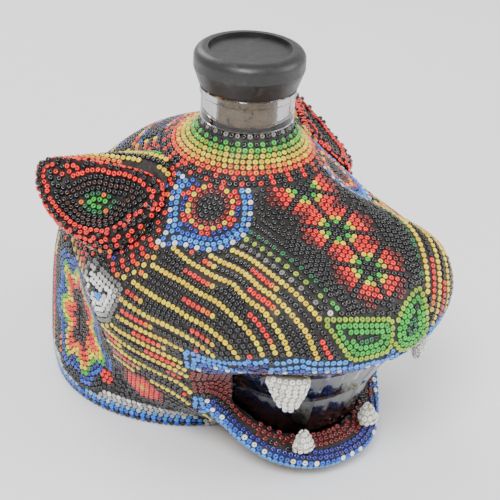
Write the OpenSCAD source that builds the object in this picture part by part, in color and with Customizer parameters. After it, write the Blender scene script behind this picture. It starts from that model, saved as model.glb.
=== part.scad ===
// Beaded big-cat head bottle: a head-shaped glass bottle under a wax bed, panels of
// seed beads, built-up ears and fangs, and a bar-top stopper in the neck.
// The head faces -Y, +Z is up, and the neck's axis is the Z axis.

/* [Head] */
// Width across the cheeks
head_w = 120; // [100:1:150]
// Length from the nose to the back of the base
head_l = 162; // [135:1:200]
// Height from the table to the root of the neck
head_h = 110; // [95:1:130]
// Radius of the round foot
base_r = 52.5; // [43:0.5:64]
// Height of the bead band round the foot
base_band_h = 7; // [4:0.5:9]

/* [Layers] */
// Thickness of the layer of beads
bead_t = 1.3; // [0.8:0.1:1.8]
// Thickness of the wax that holds the beads
wax_t = 1; // [0.6:0.1:1.5]
// Thickness of the glass wall
glass_t = 3.5; // [2.5:0.1:5]

/* [Neck] */
// Radius of the glass neck
neck_r = 16; // [14:0.5:18]
// Radius of the bore through the neck
bore_r = 10.5; // [8:0.25:11.5]
// Height of bare glass between the beads and the stopper's cap
neck_h = 12.3; // [9:0.1:20]

/* [Stopper] */
// Largest radius of the cap
cap_r = 18.9; // [17:0.1:22]
// Height of the cap
cap_h = 13; // [10:0.5:18]
// Radius of the shallow dish in the cap's top
dish_r = 14.1; // [10:0.1:15]
// Depth of the dish
dish_d = 1.4; // [0.5:0.1:3]
// Length of the cork below the cap
cork_l = 12; // [8:0.5:16]
// Radial clearance between cork and bore
cork_gap = 0.05; // [0.02:0.01:0.1]

/* [Ears and fangs] */
// Half the length of an ear's cup
ear_l = 22.5; // [20:0.5:27]
// Half the width of an ear's cup
ear_w = 11.5; // [9:0.5:14]
// Depth of an ear's cup
ear_d = 4.5; // [3:0.5:5]
// Length of an upper fang
fang_l = 15; // [10:0.5:17]
// Width of an upper fang along the lip
fang_w = 16; // [8:0.5:17]
// Length of a lower fang
low_fang_l = 7.5; // [6:0.5:9]
// Width of a lower fang along the lip
low_fang_w = 9; // [6:0.5:11]

/* [Hidden] */

$fn = 64;

// The head's shape is drawn at this width, length and height, and stretched to the chosen ones.
drawn_size = [120, 162, 110];
stretch = [head_w / drawn_size.x, head_l / drawn_size.y, head_h / drawn_size.z];
base_y = 30;                  // the foot's centre behind the neck, as drawn
foot_gap = 0.8;               // the beads' lower edge above the table
seat_r = neck_r + 0.4;        // where the beads meet the neck
mid_skin = bead_t + wax_t;    // depth of the glass under the beads' outer face

// Meridians: [angle from the nose, [[row, radius, height], ...]]. Rows 0, 1, 19 and 20 are the
// foot and the neck, worked out below. The others run up the outside: 2-3 throat and chin,
// 4-5 lower lip, 6-10 inside the mouth, 11-12 upper lip, 13-14 muzzle, 15-18 brow and crown.
MERIDIANS = [
  [0, [[2, 36, 6], [3, 52, 3.2], [4, 62, 3], [5, 65.5, 7], [6, 61.5, 11], [7, 56, 13],
       [8, 62, 30], [9, 70, 44], [10, 74, 49.5], [11, 77.5, 51.5], [12, 80.5, 55],
       [13, 80.5, 62.5], [14, 77, 73], [15, 66.5, 82], [16, 49, 89], [17, 33, 95.5],
       [18, 23.5, 102]]],
  [12, [[2, 36, 6], [3, 51, 3.2], [4, 61, 3.2], [5, 64.5, 7.3], [6, 60.5, 11.2], [7, 55, 13],
       [8, 61.5, 30], [9, 69.5, 44], [10, 73.5, 49.8], [11, 77, 52], [12, 80.5, 55.8],
       [13, 81.3, 63.5], [14, 77.5, 74], [15, 67, 83], [16, 49.5, 89.5], [17, 33.5, 95.5],
       [18, 24, 102]]],
  [25, [[2, 36, 7], [3, 48.5, 5], [4, 56.5, 5.5], [5, 59.5, 9.5], [6, 55.5, 13.5], [7, 51, 15.5],
       [8, 57, 30], [9, 64.5, 43], [10, 70, 50], [11, 74.5, 52.8], [12, 78.5, 57],
       [13, 80.3, 66], [14, 76.5, 77], [15, 67.5, 85], [16, 51.5, 89.8], [17, 34.5, 94],
       [18, 24.5, 101.5]]],
  [36, [[2, 35, 9], [3, 45, 8.5], [4, 52.5, 11.5], [5, 55, 16], [6, 51, 19], [7, 47.5, 21.5],
       [8, 51, 31], [9, 57.5, 41], [10, 62.5, 46.5], [11, 67, 49.5], [12, 71.5, 53.5],
       [13, 75.5, 63], [14, 71, 75], [15, 62, 80.5], [16, 49.5, 84.5], [17, 34.5, 91],
       [18, 25, 100.5]]],
  [44, [[2, 35, 10], [3, 43.5, 12], [4, 50, 18], [5, 52.5, 22.5], [6, 50, 26], [7, 48, 28.5],
       [8, 49, 32.5], [9, 52.5, 37], [10, 56.5, 41], [11, 60.5, 44], [12, 64.5, 48],
       [13, 69.5, 60], [14, 66, 71.5], [15, 58, 78], [16, 47, 82.5], [17, 33.5, 90],
       [18, 25, 99.5]]],
  [50, [[2, 35.5, 10], [3, 43.5, 14], [4, 50, 21], [5, 53, 27], [6, 53.2, 29.5], [7, 53.4, 32],
       [8, 54, 35], [9, 55.5, 38], [10, 57.5, 41], [11, 59.5, 44], [12, 61.8, 47.5],
       [13, 66, 59], [14, 62.5, 70.5], [15, 55, 76.5], [16, 44.5, 82], [17, 32.5, 90],
       [18, 25, 99]]],
  [58, [[2, 36.5, 10], [4, 47, 19], [8, 55, 35], [12, 60.5, 49], [13, 63, 59], [14, 59.5, 69.5],
       [15, 52, 76.5], [16, 42, 83], [17, 32, 91], [18, 25, 99]]],
  [70, [[2, 39, 10], [4, 46, 19], [8, 54.5, 35], [12, 59.5, 51], [14, 57.5, 66],
       [16, 40.5, 84], [17, 32, 91.5], [18, 25, 99]]],
  [84, [[2, 42, 10], [4, 47.5, 19], [8, 55, 36], [12, 59.5, 53], [14, 57.5, 66],
       [16, 41, 84.5], [17, 33, 92], [18, 25.5, 100]]],
  [100, [[2, 49.5, 12], [4, 50, 21], [8, 55, 39], [12, 60, 56], [14, 57, 67],
       [16, 42, 84.5], [17, 34, 92], [18, 26, 100]]],
  [114, [[2, 57, 12], [4, 56, 21], [8, 55.5, 39], [12, 58.5, 56], [14, 56, 67],
       [16, 42, 85.5], [17, 34, 93], [18, 26, 100.5]]],
  [130, [[2, 66.3, 12], [4, 66.2, 22], [8, 65.8, 42], [12, 65, 57], [14, 60, 69],
       [16, 43, 87], [18, 26.5, 101]]],
  [152, [[2, 77.2, 12], [4, 77, 24], [8, 75.5, 44], [12, 71, 61], [14, 66, 72],
       [16, 48, 89.5], [18, 27, 102]]],
  [180, [[2, 82.5, 12], [4, 82.2, 24], [8, 80.5, 44], [12, 75, 63], [14, 69, 74],
       [16, 50, 91.5], [18, 27, 103]]]];

// Where the skin is cut into facets: along each meridian, and round the head from nose to nape.
ROWS = [0, 1, 2, 3, 4, 5, 6, 7, 8, 9, 10, 11, 12, 12.5, 13, 13.5, 14, 14.5, 15, 15.5, 16,
    16.5, 17, 17.5, 18, 18.5, 19, 20];
SIDE = [0, 6, 12, 18.5, 25, 31, 36, 40, 44, 47, 50, 54, 58, 64, 70, 77, 84, 92, 100, 107, 114,
    122, 130, 141, 152, 166, 180];
AROUND = concat([for (i = [len(SIDE) - 2:-1:1]) -SIDE[i]], SIDE);

// A smooth curve through keys [[place, value], ...], with flat ends if level is true.
function slope(keys, i, level) =
    (i == 0 || i == len(keys) - 1)
    ? (level ? 0 * keys[i][1]
        : i == 0 ? (keys[1][1] - keys[0][1]) / (keys[1][0] - keys[0][0])
        : (keys[i][1] - keys[i - 1][1]) / (keys[i][0] - keys[i - 1][0]))
    : (keys[i + 1][1] - keys[i - 1][1]) / (keys[i + 1][0] - keys[i - 1][0]);
function span(keys, t, i = 0) = (i >= len(keys) - 2 || t < keys[i + 1][0]) ? i : span(keys, t, i + 1);
function curve_at(keys, t, level = false) =
    let (i = span(keys, t), w = keys[i + 1][0] - keys[i][0], s = (t - keys[i][0]) / w)
    (2 * pow(s, 3) - 3 * pow(s, 2) + 1) * keys[i][1]
    + (pow(s, 3) - 2 * pow(s, 2) + s) * w * slope(keys, i, level)
    + (3 * pow(s, 2) - 2 * pow(s, 3)) * keys[i + 1][1]
    + (pow(s, 3) - pow(s, 2)) * w * slope(keys, i + 1, level);

// A point of the head from its meridian angle, radius and height as drawn.
function placed(a, r, z) = [r * sin(a) * stretch.x, -r * cos(a) * stretch.y, z * stretch.z];

// The foot is a circle round its own centre; the neck's rows are circles round the Z axis.
function foot_point(a, grow, z) =
    let (c = base_y * stretch.y, d = c * -cos(a), r = base_r + grow,
        reach = d + sqrt(pow(r, 2) - pow(c, 2) + pow(d, 2)))
    [reach * sin(a), -reach * cos(a), z];
function neck_point(a, r, z) = [r * sin(a), -r * cos(a), z];

// Radius and height along each meridian, then round the head at each row.
function drawn_rows(m) = [for (k = m[1]) [k[0], [k[1], k[2]]]];
GRID_KEYS = [for (k = ROWS) if (k >= 2 && k <= 18)
    [k, [for (m = MERIDIANS) [m[0], curve_at(drawn_rows(m), k)]]]];
function skin_row(k) = [for (g = GRID_KEYS) if (g[0] == k) g[1]][0];
function lerp(a, b, t) = a + (b - a) * t;
function skin_point(k, a) =
    k == 0 ? foot_point(a, -1.5, foot_gap)
    : k == 1 ? foot_point(a, 0, base_band_h)
    : k == 20 ? neck_point(a, seat_r, head_h)
    : k == 19 ? neck_point(a, seat_r + 1.6, head_h - 3.5)
    : k == 18.5 ? lerp(neck_point(a, seat_r + 1.6, head_h - 3.5), skin_point(18, a), 0.45)
    : let (p = curve_at(skin_row(k), abs(a), true)) placed(a, p[0], p[1]);
SKIN = [for (k = ROWS) [for (a = AROUND) skin_point(k, a)]];
n_rows = len(ROWS);
n_around = len(AROUND);

// Outward normals of the grid of points, and the same grid sunk by a depth.
function wrap(i) = (i + n_around) % n_around;
function unit(v) = v / norm(v);
function normal_at(j, i) = unit(cross(
    SKIN[j][wrap(i + 1)] - SKIN[j][wrap(i - 1)],
    SKIN[min(j + 1, n_rows - 1)][i] - SKIN[max(j - 1, 0)][i]));
NORMALS = [for (j = [0:n_rows - 1]) [for (i = [0:n_around - 1]) normal_at(j, i)]];
function sunk(depth) = [for (j = [0:n_rows - 1])
    [for (i = [0:n_around - 1]) SKIN[j][i] - depth * NORMALS[j][i]]];
UNDER_BEADS = sunk(bead_t);
UNDER_WAX = sunk(mid_skin);

function flat(l) = [for (a = l) each a];
function row_no(k) = search(k, ROWS)[0];

// The beadwork's panels, as a map from a facet's row and its angle from the nose.
function mouth_part(k, a) =
    k < 4 ? "chin_panel"
    : k < 6 ? "lower_lip"
    : k > 11 ? "upper_lip"
    : (k > 7 && k < 10 && a < 40) ? "bare glass"
    : (k > 10 && a < 40) ? "upper_gum" : "mouth_lining";
function face_part(k, a, side) =
    k > 18 ? "brow_panel"
    : a < 25 ? (k < 14.5 ? "nose_pad" : k < 17 ? "bridge_panel" : "brow_panel")
    : (k > 15.5 && a > 36) ? str(side, "_eye_patch")
    : k > 17 ? "brow_panel" : str(side, "_cheek");
function back_part(k, a, side) =
    k > 14.5 ? "nape_panel"
    : a < 110 ? str(side, "_cheek") : str(side, "_flank");
function part_at(k, a, side) =
    k < 1 ? "base_band"
    : k > 18.5 ? "neck_collar"
    : (a < 54 && k < 12.5) ? mouth_part(k, a)
    : a < 84 ? (k < 12.5 ? str(side, "_cheek") : face_part(k, a, side))
    : back_part(k, a, side);

// The facets of the grid, each with its row and its place round the head.
function mid_row(j) = (ROWS[j] + ROWS[j + 1]) / 2;
function mid_angle(i) = (AROUND[i] + (i == n_around - 1 ? 360 + AROUND[0] : AROUND[i + 1])) / 2;
function part_of(j, i) =
    let (m = mid_angle(i), a = m > 180 ? 360 - m : abs(m))
    part_at(mid_row(j), a, (m < 0 || m > 180) ? "right" : "left");
PARTS = [for (j = [0:n_rows - 2]) [for (i = [0:n_around - 1]) part_of(j, i)]];

// A closed sheet between two grids, over the facets that keep(part) says.
module sheet(outer, inner, keep) {
    count = n_rows * n_around;
    function at(j, i, layer) = layer * count + j * n_around + wrap(i);
    function kept(j, i) = j >= 0 && j < n_rows - 1 && keep(PARTS[j][wrap(i)]);
    function wall(j0, i0, j1, i1) =
        let (a = at(j0, i0, 0), b = at(j1, i1, 0), under_a = at(j0, i0, 1), under_b = at(j1, i1, 1))
        (j1 > j0 || i1 > i0) ? [[a, b, under_b], [a, under_b, under_a]]
        : [[a, b, under_a], [b, under_b, under_a]];
    faces = [for (j = [0:n_rows - 2], i = [0:n_around - 1]) if (kept(j, i)) each concat([
        [at(j, i, 0), at(j + 1, i, 0), at(j + 1, i + 1, 0)],
        [at(j, i, 0), at(j + 1, i + 1, 0), at(j, i + 1, 0)],
        [at(j, i, 1), at(j + 1, i + 1, 1), at(j + 1, i, 1)],
        [at(j, i, 1), at(j, i + 1, 1), at(j + 1, i + 1, 1)]],
        kept(j - 1, i) ? [] : wall(j, i, j, i + 1),
        kept(j + 1, i) ? [] : wall(j + 1, i + 1, j + 1, i),
        kept(j, i - 1) ? [] : wall(j + 1, i, j, i),
        kept(j, i + 1) ? [] : wall(j, i + 1, j + 1, i + 1))];
    polyhedron(concat(flat(outer), flat(inner)), faces);
}
module bead_panel(name) {
    sheet(SKIN, UNDER_BEADS, function (part) part == name);
}

// A closed solid through rings of points, each ring with the same count, ends filled by fans.
module lofted(rings, first, last) {
    n = len(rings[0]);
    m = len(rings);
    points = concat([first], flat(rings), [last]);
    faces = concat(
        [for (i = [0:n - 1]) [0, 1 + (i + 1) % n, 1 + i]],
        [for (j = [0:m - 2], i = [0:n - 1]) each [
            [1 + j * n + i, 1 + j * n + (i + 1) % n, 1 + (j + 1) * n + i],
            [1 + j * n + (i + 1) % n, 1 + (j + 1) * n + (i + 1) % n, 1 + (j + 1) * n + i]]],
        [for (i = [0:n - 1]) [1 + m * n, 1 + (m - 1) * n + i, 1 + (m - 1) * n + (i + 1) % n]]);
    polyhedron(points, faces);
}

// A closed ring-shaped solid through rings of points, the last joined to the first.
module hoop(rings) {
    n = len(rings[0]);
    m = len(rings);
    polyhedron(flat(rings), [for (j = [0:m - 1], i = [0:n - 1]) let (k = (j + 1) % m) each [
        [j * n + i, j * n + (i + 1) % n, k * n + (i + 1) % n],
        [j * n + i, k * n + (i + 1) % n, k * n + i]]]);
}

/* Bottle */
foot_ring = [for (a = AROUND) foot_point(a, -mid_skin - 3, 0)];
CAVITY_ROWS = [1, 7, 8, 9, 13, 14, 15, 16, 17, 18];
CAVITY = let (g = sunk(mid_skin + glass_t)) [for (k = CAVITY_ROWS) g[row_no(k)]];
shoulder_r = seat_r - mid_skin;            // outer radius of the glass where the neck stands on it
shoulder_z = head_h - 1;
ceiling_z = shoulder_z - glass_t;
neck_ledge = head_h + 0.4;
neck_top = head_h + neck_h;
function neck_ring(r, z) = [for (a = AROUND) neck_point(a, r, z)];

module glass_bottle() {
    rings = concat(CAVITY, [neck_ring(bore_r + 1.5, ceiling_z), neck_ring(bore_r, ceiling_z),
        neck_ring(bore_r, shoulder_z), neck_ring(shoulder_r, shoulder_z)],
        [for (j = [n_rows - 2:-1:0]) UNDER_WAX[j]], [foot_ring]);
    color([0.35, 0.36, 0.35, 0.6]) lofted(rings, [0, base_y * stretch.y, base_band_h - 1],
        [0, base_y * stretch.y, 0]);
}

// The neck is a lathed tube that stands on the bottle's shoulder, with a ring below its lip.
module glass_neck() {
    root_r = shoulder_r - 0.5;
    lip_z = neck_top - 3.2;
    color([0.35, 0.36, 0.35, 0.6]) rotate_extrude($fn = 96)
        polygon([[bore_r, shoulder_z], [root_r, shoulder_z], [root_r, neck_ledge],
            [neck_r - 0.4, neck_ledge], [neck_r, neck_ledge + 0.4], [neck_r, lip_z],
            [neck_r + 0.5, lip_z + 0.6], [neck_r + 0.5, neck_top - 0.6], [neck_r, neck_top],
            [bore_r, neck_top]]);
}
module wax_bed() {
    color("khaki") sheet(UNDER_BEADS, UNDER_WAX, function (part) part != "bare glass");
}

/* Panels of beads */
bead_dark = [0.08, 0.07, 0.07];
bead_blue = [0.1, 0.3, 0.7];
module base_band() {
    color("gainsboro") bead_panel("base_band");
}
module neck_collar() {
    color("orange") bead_panel("neck_collar");
}
module chin_panel() {
    color(bead_dark) bead_panel("chin_panel");
}
module lower_lip() {
    color(bead_blue) bead_panel("lower_lip");
}
module mouth_lining() {
    color("darkred") bead_panel("mouth_lining");
}
module upper_gum() {
    color("maroon") bead_panel("upper_gum");
}
module upper_lip() {
    color(bead_blue) bead_panel("upper_lip");
}
module nose_pad() {
    color("forestgreen") bead_panel("nose_pad");
}
module bridge_panel() {
    color("crimson") bead_panel("bridge_panel");
}
module brow_panel() {
    color(bead_dark) bead_panel("brow_panel");
}
module nape_panel() {
    color(bead_dark) bead_panel("nape_panel");
}
module eye_patch(side) {
    color("royalblue") bead_panel(str(side, "_eye_patch"));
}
module cheek(side) {
    color("gold") bead_panel(str(side, "_cheek"));
}
module flank(side) {
    color(bead_dark) bead_panel(str(side, "_flank"));
}

/* Stopper */
cap_z = neck_top;
cap_top = cap_z + cap_h;
cork_r = bore_r - cork_gap;
module stopper_cap() {
    round_r = 3.4;            // radius of the cap's rounded upper edge
    color([0.17, 0.18, 0.18]) rotate_extrude($fn = 96) difference() {
        union() {
            polygon([[0, cap_z], [neck_r + 0.4, cap_z], [neck_r + 0.9, cap_z + 0.6],
                [cap_r - 0.4, cap_z + cap_h * 0.4], [cap_r, cap_z + cap_h * 0.5],
                [cap_r, cap_top - round_r], [cap_r - round_r, cap_top], [0, cap_top]]);
            translate([cap_r - round_r, cap_top - round_r]) circle(round_r);
        }
        translate([0, cap_top - dish_d]) square([dish_r, dish_d + 1]);
    }
}
module stopper_cork() {
    color("tan") rotate_extrude($fn = 96)
        polygon([[0, cap_z - cork_l], [cork_r - 0.8, cap_z - cork_l], [cork_r, cap_z - cork_l + 0.8],
            [cork_r, cap_z], [0, cap_z]]);
}

/* Ears, drawn for the left ear and mirrored */
ear_at = [51.3 * stretch.x, 17.1 * stretch.y, 85.4 * stretch.z]; // centre of the cup's rim
ear_along = unit([0.43, 0.9, 0.02]);                           // towards the tip
ear_across = unit(cross([0.63, -0.31, 0.71], ear_along));      // towards the upper edge
ear_out = cross(ear_along, ear_across);                        // the way the cup opens
ear_taper = 0.2;              // how much narrower the cup is at its tip
ear_bend = 5.5;               // how far both ends rise above the middle
ear_seat = 0.4;               // gap between the ear and the head's beads
ear_roof = 1;                 // rise of the ridge from the ear's tip to the neck
lining_gap = 0.05;            // between the cup's beads and its core
root_reach = 9;               // mm of skin in one row, near the ear's root
EAR_TURN = [for (i = [0:31]) i * 360 / 32];

// A point on the ear's leaf shape at a share q of the outline, lifted off the rim's plane.
function leaf(t, q, lift, grow = 0) =
    ear_at + ear_along * (ear_l * q + grow) * cos(t)
    + ear_across * ((ear_w * q * (1 - ear_taper * cos(t)) + grow) * sin(t)
        + ear_bend * pow(q * cos(t), 2)) + ear_out * lift;
function cup_ring(q, over = 0) = [for (t = EAR_TURN) leaf(t, q, over - ear_d * (1 - pow(q, 2)))];
function rim_ring(grow) = [for (t = EAR_TURN) leaf(t, 1, 0.8, 1.2 + grow)];
function edge_ring(grow) = [for (t = EAR_TURN) leaf(t, 1, -1.6, 1.8 + grow)];

// The ear's root lies on the head's skin, at a share q of its outline, grown by grow rows.
function skin_at(k, a) =
    let (p = curve_at([for (m = MERIDIANS) [m[0], curve_at(drawn_rows(m), k)]], a, true))
    placed(a, p[0], p[1]);
function skin_normal(k, a) = unit(cross(
    skin_at(k, a + 1) - skin_at(k, a - 1), skin_at(k + 0.1, a) - skin_at(k - 0.1, a)));
function root_point(t, q, grow) =
    let (k = 16 + (1.7 * q + grow) * sin(t), a = 108 + (23 * q + grow * 11) * cos(t))
    skin_at(k, a) + ear_seat * skin_normal(k, a);
function root_ring(q, grow) = [for (t = EAR_TURN) root_point(t, q, grow)];
function waist_ring(grow) =
    let (rim = edge_ring(grow), root = root_ring(1, grow / root_reach))
    [for (i = [0:31]) lerp(rim[i], root[i], 0.55) + [0, 0, ear_roof * max(0, sin(EAR_TURN[i]))]];
function side_rings(grow) =
    [rim_ring(grow * 0.6), edge_ring(grow), waist_ring(grow), root_ring(1, grow / root_reach)];
CUP = [0.3, 0.6, 0.85, 0.97];

module ear_core() {
    root_rings = [root_ring(0.66, 0), root_ring(0.33, 0)];
    color("khaki") lofted(concat([for (q = CUP) cup_ring(q)], side_rings(0), root_rings),
        ear_at - ear_out * ear_d, root_point(0, 0, 0));
}
module ear_lining() {
    top = [for (q = CUP) cup_ring(q, bead_t)];
    under = [for (i = [3:-1:0]) cup_ring(CUP[i], lining_gap)];
    color("green") lofted(concat(top, under), ear_at + ear_out * (bead_t - ear_d),
        ear_at + ear_out * (lining_gap - ear_d));
}
module ear_cover() {
    inner = side_rings(0);
    color("red") hoop(concat(side_rings(bead_t), [for (i = [3:-1:0]) inner[i]]));
}

/* Fangs, drawn on the left and mirrored */
function head_place(x, y, z) = [x * stretch.x, y * stretch.y, z * stretch.z];
FANG_TURN = [for (i = [0:23]) i * 15];

// A rounded, tapering tooth from its base centre: half its width lies along the lip.
module fang(base, along, tip, half_w, half_d, l) {
    across = unit(cross(along, tip));
    function ring(share, h) = [for (t = FANG_TURN)
        base + tip * h + along * half_w * share * cos(t) + across * half_d * share * sin(t)];
    rings = [ring(1, 0), ring(0.86, l * 0.3), ring(0.66, l * 0.6), ring(0.44, l * 0.85),
        ring(0.24, l * 0.96)];
    color("ivory") lofted(rings, base, base + tip * l);
}
module upper_fang() {
    fang(head_place(30, -64, 51), unit([0.7, 0.7, 0]), unit([-0.1, 0.04, -1]), fang_w / 2, 4, fang_l);
}
module lower_fang() {
    fang(head_place(14.5, -57, 11.8), [1, 0, 0], unit([0, 0.1, 1]), low_fang_w / 2, 3.6, low_fang_l);
}

glass_bottle();
glass_neck();
wax_bed();
base_band();
neck_collar();
chin_panel();
lower_lip();
mouth_lining();
upper_gum();
upper_lip();
nose_pad();
bridge_panel();
brow_panel();
eye_patch("right");  // right_eye_patch
eye_patch("left");  // left_eye_patch
cheek("right");  // right_cheek
cheek("left");  // left_cheek
flank("right");  // right_flank
flank("left");  // left_flank
nape_panel();
mirror([1, 0, 0]) ear_core();  // right_ear_core
ear_core();  // left_ear_core
mirror([1, 0, 0]) ear_lining();  // right_ear_lining
ear_lining();  // left_ear_lining
mirror([1, 0, 0]) ear_cover();  // right_ear_cover
ear_cover();  // left_ear_cover
mirror([1, 0, 0]) upper_fang();  // right_upper_fang
upper_fang();  // left_upper_fang
mirror([1, 0, 0]) lower_fang();  // right_lower_fang
lower_fang();  // left_lower_fang
stopper_cap();
stopper_cork();
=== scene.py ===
"""The looks of the beaded big-cat head bottle: seed beads set row by row in dark wax on a glass
bottle, beaded ears and fangs, and a bar-top stopper. Lengths are in millimetres until a mesh
is made, which is in metres."""

import math

import bmesh
import bpy
import numpy as np
from mathutils import Matrix, Vector
from mathutils.bvhtree import BVHTree
from mathutils.kdtree import KDTree


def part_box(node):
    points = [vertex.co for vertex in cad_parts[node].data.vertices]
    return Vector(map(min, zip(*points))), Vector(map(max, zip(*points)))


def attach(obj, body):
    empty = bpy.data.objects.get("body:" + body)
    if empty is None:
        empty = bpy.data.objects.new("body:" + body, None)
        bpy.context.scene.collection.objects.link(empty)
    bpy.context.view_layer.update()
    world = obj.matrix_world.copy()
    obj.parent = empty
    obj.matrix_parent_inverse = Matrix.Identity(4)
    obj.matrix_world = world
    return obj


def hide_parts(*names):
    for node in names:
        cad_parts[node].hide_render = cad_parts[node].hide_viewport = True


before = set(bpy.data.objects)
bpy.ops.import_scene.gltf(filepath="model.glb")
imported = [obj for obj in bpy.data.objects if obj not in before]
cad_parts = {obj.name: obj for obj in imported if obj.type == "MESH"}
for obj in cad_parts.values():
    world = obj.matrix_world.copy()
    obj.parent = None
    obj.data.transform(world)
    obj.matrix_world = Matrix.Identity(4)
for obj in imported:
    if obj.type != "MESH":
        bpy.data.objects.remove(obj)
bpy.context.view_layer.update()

MM = 0.001
PITCH = 2.08            # from bead to bead along a row
ROW = 1.9               # from row to row
CLOSEST = 1.66          # beads nearer than this would bite into each other
BEAD_RISE = 0.55        # a bead's middle above the wax bed's face
WAX_RISE = 0.4          # how far the wax squeezes up between the beads
rng = np.random.default_rng(7)

COLOURS = {
    "black": (0.006, 0.005, 0.006),
    "brown": (0.040, 0.010, 0.007),
    "dark_red": (0.150, 0.006, 0.005),
    "red": (0.800, 0.008, 0.004),
    "orange": (0.950, 0.160, 0.004),
    "yellow": (0.900, 0.620, 0.008),
    "lime": (0.280, 0.450, 0.012),
    "green": (0.025, 0.400, 0.030),
    "dark_green": (0.006, 0.110, 0.035),
    "white": (0.850, 0.850, 0.810),
    "pearl": (0.450, 0.450, 0.430),
    "grey": (0.160, 0.155, 0.150),
    "sky": (0.035, 0.270, 0.800),
    "blue": (0.008, 0.085, 0.520),
    "indigo": (0.010, 0.012, 0.210),
    "cream": (0.760, 0.690, 0.460),
}


# ---------------------------------------------------------------- surfaces

def unit(v):
    return v / np.maximum(np.linalg.norm(v, axis=-1, keepdims=True), 1e-12)


def cad_mesh(name):
    """A CAD node's points in millimetres, doubles merged, and its triangles."""
    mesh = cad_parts[name].data
    mesh.calc_loop_triangles()
    co = np.empty(len(mesh.vertices) * 3)
    mesh.vertices.foreach_get("co", co)
    corners = np.empty(len(mesh.loop_triangles) * 3, int)
    mesh.loop_triangles.foreach_get("vertices", corners)
    points, place = np.unique(np.round(co.reshape(-1, 3) / MM, 3), axis=0, return_inverse=True)
    tris = place[corners].reshape(-1, 3)
    whole = (tris[:, 0] != tris[:, 1]) & (tris[:, 1] != tris[:, 2]) & (tris[:, 2] != tris[:, 0])
    return points, tris[whole]


def tree_of(points):
    tree = KDTree(len(points))
    for i, p in enumerate(points):
        tree.insert(p, i)
    tree.balance()
    return tree


def gap_to(points, tree):
    return np.array([tree.find(p)[2] for p in points])


def surface_tree(names):
    """One search tree over the faces of several CAD nodes, and each face's node number."""
    points, tris, owner, start = [], [], [], 0
    for number, name in enumerate(names):
        p, t = cad_mesh(name)
        points.append(p)
        tris.append(t + start)
        owner += [number] * len(t)
        start += len(p)
    tree = BVHTree.FromPolygons(np.concatenate(points).tolist(), np.concatenate(tris).tolist())
    return tree, owner


def kept_faces(points, tris, keep):
    """The faces whose corners are all kept, with the points that they use."""
    tris = tris[keep[tris].all(axis=1)]
    used, place = np.unique(tris, return_inverse=True)
    return points[used], place.reshape(-1, 3)


def mesh_from(name, points, faces):
    mesh = bpy.data.meshes.new(name)
    mesh.from_pydata((np.asarray(points) * MM).tolist(), [], np.asarray(faces).tolist())
    mesh.update()
    return mesh


def smoothed(points, tris, levels):
    """A finer, rounded copy of a CAD surface: its triangles paired into quads and subdivided."""
    mesh = mesh_from("coarse", points, tris)
    work = bmesh.new()
    work.from_mesh(mesh)
    bmesh.ops.join_triangles(work, faces=work.faces, angle_face_threshold=math.pi,
                             angle_shape_threshold=math.pi)
    work.to_mesh(mesh)
    work.free()
    thing = bpy.data.objects.new("coarse", mesh)
    bpy.context.scene.collection.objects.link(thing)
    finer = thing.modifiers.new("finer", "SUBSURF")
    finer.levels = levels
    finer.render_levels = levels
    done = bpy.data.meshes.new_from_object(thing.evaluated_get(bpy.context.evaluated_depsgraph_get()))
    bpy.data.objects.remove(thing)
    bpy.data.meshes.remove(mesh)
    return done


def arrays_of(mesh):
    mesh.calc_loop_triangles()
    co = np.empty(len(mesh.vertices) * 3)
    mesh.vertices.foreach_get("co", co)
    corners = np.empty(len(mesh.loop_triangles) * 3, int)
    mesh.loop_triangles.foreach_get("vertices", corners)
    return co.reshape(-1, 3) / MM, corners.reshape(-1, 3)


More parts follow.
